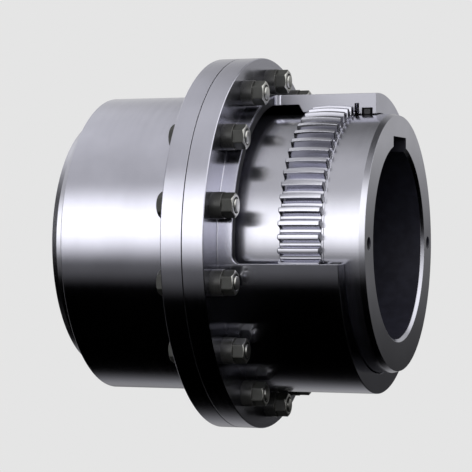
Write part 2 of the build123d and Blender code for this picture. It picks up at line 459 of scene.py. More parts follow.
def fill_faced_ends(sheet: Sheet, place: Socket, normal: Socket, start: Socket) -> tuple[Socket, ...]:
    """Where a surface looks straight along the axis, beyond a distance from the middle or within it.

    Args:
        sheet: The group's sheet.
        place: Object coordinates.
        normal: The object's own normal.
        start: The distance from the middle.

    Returns:
        A mask of the faces beyond that distance, and one of those within it.
    """
    turned_away, square_on = 0.94, 0.98
    along = sheet.math("ABSOLUTE", sheet.parts(normal)[0])
    away = sheet.math("ABSOLUTE", sheet.parts(place)[0])
    faced = sheet.remap(along, turned_away, square_on)
    outer = sheet.math("MULTIPLY", sheet.math("GREATER_THAN", away, start), faced)
    return outer, sheet.math("SUBTRACT", faced, outer)


LATHE_RINGS = Effect("lathe_rings", ("Place", "Pitch"), ("Height", "Bands"), fill_lathe_rings)
SOFT_PATCHES = Effect("soft_patches", ("Place", "Size"), ("Level",), fill_soft_patches)
EDGE_WEAR_AND_SHEEN = Effect("edge_wear_and_sheen", ("Place", "Radius"), ("Edge", "Normal"), fill_edge_wear_and_sheen)
FACED_ENDS = Effect("faced_ends", ("Place", "Normal", "From"), ("Outer", "Inner"), fill_faced_ends)


def shades(colour: Colour, *factors: float) -> list[Colour]:
    """Lighter and darker shades of a colour, no part of them above 1."""
    return [tuple(min(1.0, factor * part) for part in colour) for factor in factors]


@dataclass(frozen=True)
class Surface:
    """What every finish has: the name of its material, a colour and a roughness."""

    name: str
    colour: Colour
    roughness: float

    def sockets(self, sheet: Sheet, place: Socket, facing: Socket) -> dict:
        """Values and sockets for the shader, which each kind of finish works out.

        Args:
            sheet: The material's sheet.
            place: Object coordinates.
            facing: The object's own normal.

        Returns:
            What goes into the shader, by the name of its input.
        """
        raise NotImplementedError

    def build(self) -> bpy.types.Material:
        """Makes the material.

        Returns:
            The material.
        """
        material = bpy.data.materials.new(self.name)
        material.use_nodes = True
        sheet = Sheet(material.node_tree)
        spot = sheet.add("TexCoord").outputs
        shader = sheet.add("BsdfPrincipled", self.sockets(sheet, spot["Object"], spot["Normal"]))
        sheet.add("OutputMaterial", {0: shader.outputs[0]})
        return material


@dataclass(frozen=True)
class WindowCut:
    """The window's milled faces in a sleeve: an upright one, a level one and the end wall.

    All sizes are metres. The faces' colours are painted shade: paler on the upright face, darker on the level
    one and nearly black on the end wall.
    The end wall is painted dark up to its rim, and below the axis so is the bend through which it runs out
    into the sleeve.
    """

    near: float = Places.window_near * MM
    low: float = Places.window_low * MM
    start: float = 0.041
    faces_from: float = 0.03
    level_beyond: float = 0.1
    plane_room: float = 0.00006
    wall_room: float = 0.0003
    bend_middle: float = 0.006
    bend_reach: float = 0.0065
    wall_rim: float = 0.1685
    wall_dark: float = 0.167
    # Painted shade: the faces of the one milled cut take these colours, paler on the upright face and nearly
    # black on the end wall.
    upright: Colour = (0.5, 0.5, 0.56)
    level: Colour = (0.16, 0.16, 0.18)
    wall: Colour = (0.02, 0.02, 0.023)
    roughness: float = 0.42

    def masks(self, sheet: Sheet, place: Socket, facing: Socket) -> list[tuple[Socket, Colour]]:
        """Finds the three faces.

        Args:
            sheet: The material's sheet.
            place: Object coordinates.
            facing: The object's own normal.

        Returns:
            Each face's mask with its painted shade colour.
        """
        (x, y, z), lean = sheet.parts(place), sheet.parts(facing)[0]
        beyond = sheet.math("GREATER_THAN", x, self.faces_from)
        on_near = sheet.math("COMPARE", sheet.math("ADD", y, self.near), 0.0, self.plane_room)
        on_low = sheet.math("COMPARE", sheet.math("ADD", z, self.low), 0.0, self.plane_room)
        above = sheet.math("MULTIPLY", sheet.math("GREATER_THAN", z, 0.0), beyond)
        front = sheet.math("MULTIPLY", sheet.math("LESS_THAN", y, -self.level_beyond), beyond)
        from_wall = sheet.math("SUBTRACT", x, self.start)
        square, bent_on = sheet.remap(lean, 0.8, 0.95), sheet.remap(lean, 0.1, 0.2)
        flat = sheet.math("MULTIPLY", sheet.math("COMPARE", from_wall, 0.0, self.wall_room), square)
        bend = sheet.math("COMPARE", from_wall, self.bend_middle, self.bend_reach)
        bend = sheet.math("MULTIPLY", sheet.math("MULTIPLY", bend, bent_on), sheet.math("LESS_THAN", z, 0.0))
        inside = sheet.remap(sheet.from_axis([x, y, z]), self.wall_rim, self.wall_dark)
        end_wall = sheet.math("MULTIPLY", sheet.math("MAXIMUM", flat, bend), inside)
        upright, level = sheet.math("MULTIPLY", on_near, above), sheet.math("MULTIPLY", on_low, front)
        return [(upright, self.upright), (level, self.level), (end_wall, self.wall)]


@dataclass(frozen=True)
class TurnedSteel(Surface):
    """Bare steel with the fine rings that a lathe leaves about the coupling's axis.

    Its tones are shares of the colour in the darker patches, the paler ones and on worn edges, where the
    lighter tone is partly wear and partly a painted highlight.
    """

    # The last tone is the worn edges', partly a painted highlight.
    tones: tuple[float, ...] = (0.95, 1.04, 1.15)
    ring_pitch: float = 0.0007
    ring_depth: float = 0.10
    ring_height: float = 0.00002
    band_depth: float = 0.02
    patch_size: float = 0.05
    patch_depth: float = 0.015
    edge_radius: float = 0.0008
    grain_stretch: float = 0.85
    faced_roughness: float = 0.07
    faced_from: float = 0.14
    # Share of the colour kept on faces that look along the axis near the middle: painted shade.
    inner_painted_shade: float = 0.72
    window: WindowCut | None = None

    def sockets(self, sheet: Sheet, place: Socket, facing: Socket) -> dict:
        """Steel whose highlights stretch across the rings, as on real turned steel.

        Args:
            sheet: The material's sheet.
            place: Object coordinates.
            facing: The object's own normal.

        Returns:
            What goes into the shader, by the name of its input.
        """
        rings, bands = LATHE_RINGS.on(sheet, place, self.ring_pitch)
        patches = SOFT_PATCHES.on(sheet, place, self.patch_size)[0]
        edges, rounded = EDGE_WEAR_AND_SHEEN.on(sheet, place, self.edge_radius)
        outer, inner = FACED_ENDS.on(sheet, place, facing, self.faced_from)
        dark, pale, worn_edge_sheen, painted_shade_tone = shades(self.colour, *self.tones, self.inner_painted_shade)
        # Painted highlight: worn edges take a lighter tone of the colour, partly wear and partly a painted
        # edge highlight.
        colour = sheet.tone(edges, sheet.tone(patches, dark, pale), worn_edge_sheen)
        # Painted shade: faces that look along the axis within faced_from are darkened by the inner painted
        # shade share.
        colour = sheet.tone(inner, colour, painted_shade_tone)
        wear = sheet.math("MULTIPLY_ADD", patches, self.patch_depth, self.roughness)
        rough = sheet.math("MULTIPLY_ADD", bands, self.band_depth, wear)
        rough = sheet.blend(outer, rough, self.faced_roughness)
        # Painted shade on the window's faces: each face's mask swaps in its darker colour.
        for mask, window_painted_shade in self.window.masks(sheet, place, facing) if self.window else ():
            colour = sheet.tone(mask, colour, window_painted_shade)
            rough = sheet.blend(mask, rough, self.window.roughness)
        return {
            "Base Color": colour,
            "Metallic": 1.0,
            "Roughness": rough,
            "Anisotropic": self.grain_stretch,
            "Normal": sheet.bump(rings, self.ring_depth, self.ring_height, rounded),
            "Tangent": self.across_rings(sheet, place),
        }

    @staticmethod
    def across_rings(sheet: Sheet, place: Socket) -> Socket:
        """The direction across the rings: the normal crossed with the line round the axis.

        Args:
            sheet: The material's sheet.
            place: Object coordinates.

        Returns:
            A world direction for the shader's tangent.
        """
        _, y, z = sheet.parts(place)
        round_axis = sheet.add("CombineXYZ", {1: sheet.math("MULTIPLY", z, -1.0), 2: y})
        ways = {"vector_type": "VECTOR", "convert_from": "OBJECT", "convert_to": "WORLD"}
        in_world = sheet.add("VectorTransform", {0: round_axis.outputs[0]}, **ways)
        normal = sheet.add("NewGeometry").outputs["Normal"]
        across = sheet.along("CROSS_PRODUCT", normal, in_world.outputs[0])
        return sheet.along("NORMALIZE", across.outputs[0]).outputs[0]


@dataclass(frozen=True)
class DullSteel(Surface):
    """Steel with a blackened coat, fine grained, that is worn down to bare metal at its edges."""

    edge_colour: Colour
    bareness: float = 0.0
    gloss: float = 0.35
    tones: tuple[float, ...] = (0.8, 1.15)
    grain_size: float = 0.0012
    grain_play: float = 0.08
    grain_depth: float = 0.12
    grain_height: float = 0.00003
    patch_size: float = 0.012
    edge_radius: float = 0.0005
    edge_polish: float = 0.12

    def sockets(self, sheet: Sheet, place: Socket, facing: Socket) -> dict:
        """Steel that is dull on its coat and metallic where it is worn or bare.

        Args:
            sheet: The material's sheet.
            place: Object coordinates.
            facing: The object's own normal, which this finish doesn't need.

        Returns:
            What goes into the shader, by the name of its input.
        """
        grain = SOFT_PATCHES.on(sheet, place, self.grain_size)[0]
        patches = SOFT_PATCHES.on(sheet, place, self.patch_size)[0]
        edges, rounded = EDGE_WEAR_AND_SHEEN.on(sheet, place, self.edge_radius)
        coat = sheet.tone(patches, *shades(self.colour, *self.tones))
        wear = sheet.math("MULTIPLY_ADD", grain, self.grain_play, self.roughness - self.grain_play / 2)
        return {
            "Base Color": sheet.tone(edges, coat, self.edge_colour),
            "Metallic": sheet.math("MAXIMUM", edges, self.bareness),
            "Roughness": sheet.math("MULTIPLY_ADD", edges, -self.edge_polish, wear),
            "Specular IOR Level": self.gloss,
            "Normal": sheet.bump(grain, self.grain_depth, self.grain_height, rounded),
        }


@dataclass(frozen=True)
class DarkRubber(Surface):
    """Dense dark rubber or gasket sheet with a fine grain."""

    gloss: float
    tones: tuple[float, ...] = (0.7, 1.3)
    grain_size: float = 0.0008
    grain_depth: float = 0.3
    grain_height: float = 0.0001
    patch_size: float = 0.02
    patch_play: float = 0.12

    def sockets(self, sheet: Sheet, place: Socket, facing: Socket) -> dict:
        """Rubber that is a little smoother in some patches than in others.

        Args:
            sheet: The material's sheet.
            place: Object coordinates.
            facing: The object's own normal, which this finish doesn't need.

        Returns:
            What goes into the shader, by the name of its input.
        """
        grain = SOFT_PATCHES.on(sheet, place, self.grain_size)[0]
        patches = SOFT_PATCHES.on(sheet, place, self.patch_size)[0]
        least = self.roughness - self.patch_play / 2
        return {
            "Base Color": sheet.tone(grain, *shades(self.colour, *self.tones)),
            "Roughness": sheet.math("MULTIPLY_ADD", patches, self.patch_play, least),
            "Specular IOR Level": self.gloss,
            "Normal": sheet.bump(grain, self.grain_depth, self.grain_height),
        }


class Finish(Enum):
    """The coupling's finishes, each made at its first use."""

    HUB = TurnedSteel("turned_hub_steel", (0.62, 0.62, 0.69), 0.19, grain_stretch=0.6, edge_radius=0.0005)
    # Painted shade: the teeth's flanks and feet take a darker steel than the turned hub, standing in for the
    # shade between the teeth.
    FLANK = TurnedSteel(
        "flank_steel_painted_shade", (0.50, 0.50, 0.56), 0.12, ring_depth=0.0, grain_stretch=0.0, edge_radius=0.0003
    )
    # Painted shade: the teeth's rounded ends take a nearly black steel.
    TOOTH_END = TurnedSteel(
        "tooth_end_steel_painted_shade", (0.12, 0.12, 0.14), 0.25, ring_depth=0.0, grain_stretch=0.0, edge_radius=0.0003
    )
    SLEEVE = TurnedSteel("turned_sleeve_steel", (0.64, 0.64, 0.73), 0.16, window=WindowCut())
    # Painted shade: the bore, the keyway and the puller holes take a nearly black coat that stands in for the
    # shade inside them.
    BORE = DullSteel("bore_steel_painted_shade", (0.03, 0.03, 0.045), 0.45, (0.2, 0.2, 0.22), edge_radius=0.0002)
    FASTENER = DullSteel("blackened_fastener_steel", (0.04, 0.041, 0.037), 0.34, (0.5, 0.5, 0.48), gloss=0.45)
    NUT_FACE = DullSteel("bare_fastener_steel", (0.6, 0.6, 0.57), 0.32, (0.8, 0.8, 0.77), bareness=1.0)
    COLLAR = DullSteel("blackened_collar_steel", (0.038, 0.038, 0.037), 0.3, (0.42, 0.42, 0.41), gloss=0.5)
    SEAL = DarkRubber("black_seal_rubber", (0.008, 0.008, 0.009), 0.6, 0.03)
    # The paler rubber of the cut ends' middles; their black rim is painted shadow.
    SEAL_CUT = DarkRubber("cut_seal_rubber", (0.06, 0.06, 0.064), 0.6, 0.15)
    GASKET = DarkRubber("black_gasket_sheet", (0.02, 0.02, 0.02), 0.7, 0.3)

    def material(self) -> bpy.types.Material:
        """The finish's material."""
        return bpy.data.materials.get(self.value.name) or self.value.build()


# Studio

@dataclass(frozen=True)
class PhotoCamera:
    """The photograph's viewpoint, level with the coupling's axis and off to the window's side."""

    azimuth: float = 19.614
    distance: float = 2.3316
    height: float = 0.0121
    target_x: float = -0.0143
    pitch_down: float = 0.096
    focal_length: float = 153.24
    sensor_width: float = 36.0
    nearest: float = 0.05
    farthest: float = 200.0

    def build(self) -> bpy.types.Object:
        """Makes the camera and gives it to the scene.

        Returns:
            The camera object.
        """
        turn, tilt = math.radians(self.azimuth), math.radians(self.pitch_down)
        data = bpy.data.cameras.new("photo_camera")
        data.lens, data.sensor_width = self.focal_length, self.sensor_width
        data.clip_start, data.clip_end = self.nearest, self.farthest
        camera = bpy.data.objects.new("photo_camera", data)
        across, back = self.distance * math.sin(turn), self.distance * math.cos(turn)
        camera.location = (self.target_x + across, -back, self.height)
        camera.rotation_euler = (math.pi / 2 - tilt, 0.0, turn)
        bpy.context.scene.collection.objects.link(camera)
        bpy.context.scene.camera = camera
        return camera


Stops = tuple[tuple[float, float], ...]


@dataclass(frozen=True)
class Studio:
    """Plain soft studio light, brightest in a level band in front and dark below.

    In each of five zones from left to right the brightness follows the angle round the coupling's
    axis, where 0 degrees is level in front, 90 is straight up and 180 is level behind. A zone's stops
    are the edges of a few broad lights, and the brightness eases from each stop to the next. The zones
    blend into each other between the borders, which are shares of the way from straight left, -1, to
    straight right, 1. The pale backdrop and floor are what the camera sees behind the coupling. The
    metal mirrors the lights and not the backdrop.
    """

    backdrop: float = 0.7835
    floor_level: float = -0.45
    floor_reach: float = 60.0
    shadow_reach: float = 0.7
    strength: float = 2.0
    borders: Stops = ((-0.79, -0.69), (-0.40, -0.28), (-0.14, 0.06), (0.28, 0.50))
    far_left: Stops = ((-180.0, 0.05), (-60.0, 0.0), (50.0, 0.0), (135.0, 0.32), (155.0, 0.32), (180.0, 0.05))
    left: Stops = (
        (-180.0, 0.05),
        (-150.0, 0.14),
        (-120.0, 0.0),
        (-35.0, 0.0),
        (-18.0, 0.06),
        (12.0, 0.92),
        (22.0, 0.90),
        (50.0, 0.25),
        (100.0, 0.43),
        (120.0, 0.43),
        (150.0, 0.33),
        (170.0, 0.33),
        (180.0, 0.05),
    )
    middle: Stops = (
        (-180.0, 0.10),
        (-160.0, 0.17),
        (-125.0, 0.0),
        (-35.0, 0.0),
        (-18.0, 0.06),
        (12.0, 0.92),
        (50.0, 0.36),
        (125.0, 0.06),
        (170.0, 0.23),
        (180.0, 0.10),
    )
    right: Stops = (
        (-180.0, 0.085),
        (-176.0, 0.02),
        (-110.0, 0.0),
        (-35.0, 0.0),
        (-18.0, 0.06),
        (14.0, 0.92),
        (34.0, 0.92),
        (70.0, 0.16),
        (100.0, 0.03),
        (125.0, 0.03),
        (150.0, 0.25),
        (177.0, 0.22),
        (180.0, 0.085),
    )
    far_right: Stops = (
        (-180.0, 0.05),
        (-150.0, 0.0),
        (-40.0, 0.0),
        (100.0, 0.65),
        (115.0, 0.65),
        (160.0, 0.25),
        (180.0, 0.10),
    )

    @staticmethod
    def level(sheet: Sheet, share: Socket, stops: Stops) -> Socket:
        """Adds a colour ramp that holds brightness against the angle.

        Args:
            sheet: The world's sheet.
            share: The angle as a share of a full turn, 0.5 at level in front.
            stops: Angles in degrees and brightness.

        Returns:
            The ramp's colour.
        """
        ramp = sheet.add("ValToRGB", {0: share})
        ramp.color_ramp.interpolation = "EASE"
        elements = ramp.color_ramp.elements
        elements.remove(elements[1])
        for number, (degrees, level) in enumerate(stops):
            position = degrees / 360.0 + 0.5
            element = elements[0] if number == 0 else elements.new(position)
            element.position = position
            element.color = (level, level, level, 1.0)
        return ramp.outputs[0]

    @staticmethod
    def seen_or_mirrored(sheet: Sheet, mirrored: bpy.types.Node, seen: bpy.types.Node) -> Socket:
        """One shader for camera and transmission rays, and another one for all others.

        Args:
            sheet: The sheet of the world or of the floor's material.
            mirrored: Shader that lights the coupling and shows in its metal.
            seen: Shader that the camera sees.

        Returns:
            The mixed shader.
        """
        path = sheet.add("LightPath").outputs
        direct = sheet.math("MAXIMUM", path["Is Camera Ray"], path["Is Transmission Ray"])
        return sheet.add("MixShader", {0: direct, 1: mirrored.outputs[0], 2: seen.outputs[0]}).outputs[0]

    def build_world(self) -> bpy.types.World:
        """Makes the world that lights the coupling and fills the picture behind it.

        Returns:
            The world.
        """
        world = bpy.data.worlds.new("studio")
        world.use_nodes = True
        sheet = Sheet(world.node_tree)
        x, y, z = sheet.parts(sheet.add("TexCoord").outputs["Generated"])
        angle = sheet.math("ARCTAN2", z, sheet.math("MULTIPLY", y, -1.0))
        share = sheet.math("MULTIPLY_ADD", angle, 1.0 / FULL_TURN, 0.5)
        colour = self.level(sheet, share, self.far_left)
        for (start, end), zone in zip(self.borders, (self.left, self.middle, self.right, self.far_right)):
            colour = sheet.tone(sheet.remap(x, start, end), colour, self.level(sheet, share, zone))
        light = sheet.add("Background", {0: colour, 1: self.strength})
        pale = sheet.add("Background", {0: (self.backdrop,) * 3 + (1.0,), 1: 1.0})
        sheet.add("OutputWorld", {0: self.seen_or_mirrored(sheet, light, pale)})
        bpy.context.scene.world = world
        return world

    def build_floor(self) -> bpy.types.Object:
        """Makes the pale floor, well below the coupling because its shafts hold it up.

        Returns:
            The floor object.
        """
        reach, level = self.floor_reach, self.floor_level
        corners = [(-reach, -reach), (reach, -reach), (reach, reach), (-reach, reach)]
        mesh = bpy.data.meshes.new("floor")
        mesh.from_pydata([(x, y, level) for x, y in corners], [], [(0, 1, 2, 3)])
        floor = bpy.data.objects.new("floor", mesh)
        bpy.context.scene.collection.objects.link(floor)
        material = bpy.data.materials.new("floor_paint")
        material.use_nodes = True
        sheet = Sheet(material.node_tree)
        shade = sheet.add("AmbientOcclusion", {1: self.shadow_reach}, samples=16)
        glow = sheet.add("Emission", {0: shade.outputs[0], 1: self.backdrop})
        clear = sheet.add("BsdfTransparent")
        sheet.add("OutputMaterial", {0: self.seen_or_mirrored(sheet, clear, glow)})
        mesh.materials.append(material)
        return floor


# The coupling's pieces

class HubLook(IntEnum):
    """Numbers of a hub's finishes, in the order in which the piece takes them."""

    TURNED = 0
    FLANK = 1
    BORED = 2
    TOOTH_END = 3


@dataclass(frozen=True)
class GearRing:
    """The hub's crowned teeth.

    A tooth gap is a trapezoid swung about the cross axis through the gear's centre. At a distance s
    from that centre, with h = sqrt(s^2 + z^2), its floor lies at h = floor_radius and its flanks at
    y = gap/2 + (h - pitch_radius) tan(pressure_angle). The tips lie on a sphere.
    """

    teeth: int = 66
    centre: float = 111.2
    width: float = 47.0
    pitch_radius: float = 153.45
    floor_radius: float = 149.06
    tip_radius: float = 158.1
    tooth_thickness: float = 7.6
    pressure_angle: float = 20.0
    edge_round: float = 0.45
    root_round: float = 0.9
    end_round: float = 1.2
    stations: int = 11
    height_steps: int = 6

    def flank(self, s: float, height: np.ndarray | float, inset: float) -> np.ndarray:
        """Half the gap's width at a height, a given distance from the gear's centre.

        Args:
            s: Distance along the axis from the gear's centre.
            height: z of the flank's points.
            inset: How much wider the gap is here, for the rounded tooth ends.

        Returns:
            y of the flank's points.
        """
        gap = FULL_TURN * self.pitch_radius / self.teeth - self.tooth_thickness
        rise = np.hypot(s, height) - self.pitch_radius
        return gap / 2 + rise * math.tan(math.radians(self.pressure_angle)) + inset

    def half_gap(self, s: float, inset: float) -> np.ndarray:
        """Points from the middle of a gap's floor, up one flank, to the middle of the tooth's tip.

        The flank's foot and its corner at the tip are rounded. The tooth's corner height is found by
        stepping it towards the tip's radius.

        Args:
            s: Distance along the axis from the gear's centre.
            inset: How much the tooth shrinks here.

        Returns:
            Points as angle in radians and radius, (k, 2).
        """
        floor = math.sqrt(self.floor_radius**2 - s**2)
        tip = math.sqrt(self.tip_radius**2 - s**2) - inset
        top = tip
        for _ in range(self.height_steps):
            top = math.sqrt(tip**2 - float(self.flank(s, top, inset)) ** 2)
        heights = np.array([floor, (floor + top) / 2, top])
        foot, middle, corner = np.stack([self.flank(s, heights, inset), heights], axis=1)
        half_pitch = math.pi / self.teeth
        crest = tip * np.array([math.sin(half_pitch), math.cos(half_pitch)])
        start = np.array([0.0, floor])
        cut = np.array([[self.root_round], [self.edge_round]])
        before, after = np.stack([start, middle]), np.stack([middle, crest])
        root, edge = bent(before, np.stack([foot, corner]), after, cut, 3)
        path = np.concatenate([start[None], root, middle[None], edge, crest[None]])
        return np.stack([np.arctan2(path[:, 0], path[:, 1]), np.hypot(path[:, 0], path[:, 1])], axis=1)

    def section(self, s: float, inset: float = 0.0) -> tuple[np.ndarray, np.ndarray]:
        """The whole ring's outline across the axis.

        Args:
            s: Distance along the axis from the gear's centre.
            inset: How much the teeth shrink here.

        Returns:
            Angles and radii, one each for every point round the ring.
        """
        half = self.half_gap(s, inset)
        left = half[1:] * (-1.0, 1.0)
        gap = np.concatenate([left[::-1], half[:-1]])
        middles = (np.arange(self.teeth) + 0.5) * (FULL_TURN / self.teeth) + FULL_TURN / 4
        angles = middles[:, None] + gap[None, :, 0]
        radii = np.broadcast_to(gap[:, 1], angles.shape)
        return angles.reshape(-1), radii.reshape(-1)

    def flank_columns(self) -> np.ndarray:
        """The look of each stretch of the outline: a flank with its foot, which takes painted shade, or
        turned floor and tip.
        """
        half = np.repeat([HubLook.TURNED, HubLook.FLANK, HubLook.TURNED], [1, 5, 4])
        return np.tile(np.concatenate([half[::-1], half]), self.teeth)

    def ends_and_middle(self) -> tuple[np.ndarray, np.ndarray]:
        """Places along the teeth, closer together at their ends, which are rounded to a quarter circle.

        At a turn t of the quarter, the place is end_round (1 - cos t) from the tooth's end and the
        tooth shrinks there by end_round (1 - sin t).

        Returns:
            Distances from the gear's centre and how much the teeth shrink at each.
        """
        turn = np.linspace(0.0, math.pi / 2, 4)
        lead = self.end_round * (1 - np.cos(turn)) - self.width / 2
        shrink = self.end_round * (1 - np.sin(turn))
        middle = np.linspace(lead[-1], -lead[-1], self.stations)[1:-1]
        places = np.concatenate([lead, middle, -lead[::-1]])
        return places, np.concatenate([shrink, np.zeros(len(middle)), shrink[::-1]])


@dataclass(frozen=True)
class Hub:
    """A hub: a bored boss with a keyway, a ring of crowned teeth, a shoulder and a chamfered neck."""

    gear: GearRing = GearRing()
    inner_end: float = 4.0
    outer_end: float = 181.8
    bore: float = 108.0
    bore_chamfer: float = 3.3
    bore_round: float = 0.25
    keyway_half: float = 27.0
    keyway_top: float = 119.8
    keyway_round: float = 0.8
    barrel: float = 147.016
    neck: float = 145.916
    shoulder: float = 1.9
    chamfer_run: float = 6.2
    chamfer_drop: float = 1.9
    edge: float = 0.8
    plain_run: float = 40.0
    shoulder_round: float = 0.15
    neck_round: float = 0.2
    puller_radius: float = 7.0
    puller_circle: float = 127.658
    puller_depth: float = 28.0
    puller_mouth: float = 0.5
    drill_cone: float = 0.55
    thread_start: float = 0.6
    thread_pitch: float = 1.75
    thread_depth: float = 0.9

    def bore_loop(self, radius: float) -> np.ndarray:
        """The bore's outline at one radius, with the keyway's notch at the top.

        Args:
            radius: Radius of the round part.

        Returns:
            A closed loop of (y, z).
        """
        notch = math.asin(self.keyway_half / radius)
        turn = np.linspace(FULL_TURN / 4 + notch, FULL_TURN * 1.25 - notch, 180)
        arc = radius * np.stack([np.cos(turn), np.sin(turn)], axis=1)
        side, top, cut = self.keyway_half, self.keyway_top, self.keyway_round
        roof = np.array([(side, top - cut), (side - cut, top), (cut - side, top), (-side, top - cut)])
        return np.concatenate([arc, roof])

    def bore_rows(self) -> np.ndarray:
        """The bore from end to end, with a chamfer at each mouth whose edges are softly broken."""
        soft, run, bore = self.bore_round, self.bore_chamfer, self.bore
        wide = bore + run
        mouth = [(0.0, wide), (soft / 2, wide - soft), (run - soft, bore + soft), (run + soft, bore)]
        depths = [(self.outer_end - step, radius) for step, radius in mouth]
        depths += [(self.inner_end + step, radius) for step, radius in reversed(mouth)]
        loops = [self.bore_loop(radius) for _, radius in depths]
        return np.stack([np.insert(loop, 0, x, axis=1) for (x, _), loop in zip(depths, loops)])

    def puller_hole(self, y: float) -> np.ndarray:
        """A tapped blind hole: rings that follow the thread's crests and roots, then the drill's cone.

        Args:
            y: The hole's place across the axis.

        Returns:
            A grid of points from the mouth to the cone's tip.
        """
        depth = np.arange(self.thread_start, self.puller_depth, self.thread_pitch / 2)
        crest = self.puller_radius - self.thread_depth
        radii = np.where(np.arange(len(depth)) % 2 == 0, self.puller_radius, crest)
        walls = np.stack([self.outer_end - depth, radii], axis=1)
        mouth = [(self.outer_end, self.puller_radius + self.puller_mouth)]
        bottom = self.outer_end - self.puller_depth
        tip = [(bottom, crest), (bottom - self.drill_cone * crest, 0.0)]
        return turned(np.concatenate([mouth, walls, tip]), even_angles(40), (y, 0.0))

    def inboard(self) -> list[tuple[float, float]]:
        """Places (x, r) of the outside from the inner face to the foot of the teeth's inner ends."""
        inner, drop = self.inner_end, 0.3 * self.edge
        start = self.gear.centre - self.gear.width / 2
        return [
            (inner, self.barrel - self.edge),
            (inner + drop, self.barrel - drop),
            (inner + self.edge, self.barrel),
            (start - self.plain_run, self.barrel),
            (start, self.barrel),
        ]

    def outboard(self) -> list[tuple[float, float]]:
        """Places (x, r) of the outside from the foot of the teeth's outer ends to the outer face."""
        end = self.gear.centre + self.gear.width / 2
        last = end + self.shoulder
        return [
            (end, self.barrel),
            (last - self.shoulder_round, self.barrel),
            (last, self.barrel - self.shoulder_round),
            (last, self.neck + self.neck_round),
            (last + self.neck_round, self.neck),
            (self.outer_end - self.chamfer_run, self.neck),
            (self.outer_end, self.neck - self.chamfer_drop),
        ]

    def outside(self) -> np.ndarray:
        """The hub's outside from its inner to its outer face, one row of points for each place in x.

        Returns:
            A grid of points whose columns are those of the gear's outline.
        """
        gear, teeth = self.gear, []
        for s, inset in zip(*gear.ends_and_middle()):
            angles, radii = gear.section(s, inset)
            spots = np.stack([np.full(len(radii), gear.centre + s), radii], axis=1)
            teeth.append(turned(spots[None], angles[None])[0])
        columns = gear.section(0.0)[0]
        before, after = (turned(np.array(rows), columns) for rows in (self.inboard(), self.outboard()))
        return np.stack([*before, *teeth, *after])

    def looks(self, shape: tuple[int, ...]) -> np.ndarray:
        """The look of each face of the outside.

        The teeth's ends, which take a nearly black painted shade, are the strip from the inboard rows to the
        first tooth row and the strip from the last one to the outboard rows, each with the two nearest strips
        that round the end off.

        Args:
            shape: Shape of the outside's grid of points.

        Returns:
            A look for each row and column of faces.
        """
        look = np.full((shape[0] - 1, shape[1]), HubLook.TURNED)
        first = len(self.inboard()) - 1
        last = first + len(self.gear.ends_and_middle()[0])
        look[first + 1 : last] = self.gear.flank_columns()
        # Painted shade: the tooth ends' strips take the nearly black finish.
        look[[first, first + 1, first + 2, last - 2, last - 1, last]] = HubLook.TOOTH_END
        return look

    def skin(self) -> Skin:
        """The right-hand hub's closed surface: turned outside, toothed ring, bore, keyway and puller holes.

        Returns:
            The surface, whose looks are numbered by HubLook.
        """
        skin, outside, bore = Skin(), self.outside(), self.bore_rows()
        skin.grid(outside, look=self.looks(outside.shape))
        between_mouths, keyway_columns = len(bore) // 2 - 1, 5
        # Painted shade: the bore between its chamfers, the keyway's walls and roof, and the puller holes take
        # the nearly black bore finish.
        inside = np.full((len(bore) - 1, bore.shape[1]), HubLook.TURNED)
        inside[between_mouths] = HubLook.BORED
        inside[:, -keyway_columns:] = HubLook.BORED
        skin.grid(bore, look=inside)
        holes = [self.puller_hole(side * self.puller_circle) for side in (-1.0, 1.0)]
        for hole in holes:
            skin.grid(hole, look=HubLook.BORED)
        skin.flat_face(self.inner_end, [outside[0][:, 1:], bore[-1][:, 1:]])
        openings = [grid[0][:, 1:] for grid in (bore, *holes)]
        skin.flat_face(self.outer_end, [outside[-1][:, 1:], *openings])
        return skin

    def build(self) -> list[bpy.types.Object]:
        """Makes both hubs in place of the CAD ones.

        Returns:
            The two pieces.
        """
        skin, pieces = self.skin(), []
        finishes = (Finish.HUB, Finish.FLANK, Finish.BORE, Finish.TOOTH_END)
        for side, surface in (("left", skin.mirrored()), ("right", skin)):
            piece = surface.piece(f"{side}_toothed_hub", *finishes, smooth_below=12.0)
            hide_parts(f"{side}_hub")
            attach(piece, f"{side}_hub_body")
            pieces.append(piece)
        return pieces


class FastenerLook(IntEnum):
    """Numbers of a bolt's or nut's finishes, in the order in which the piece takes them."""

    BLACKENED = 0
    BARE = 1


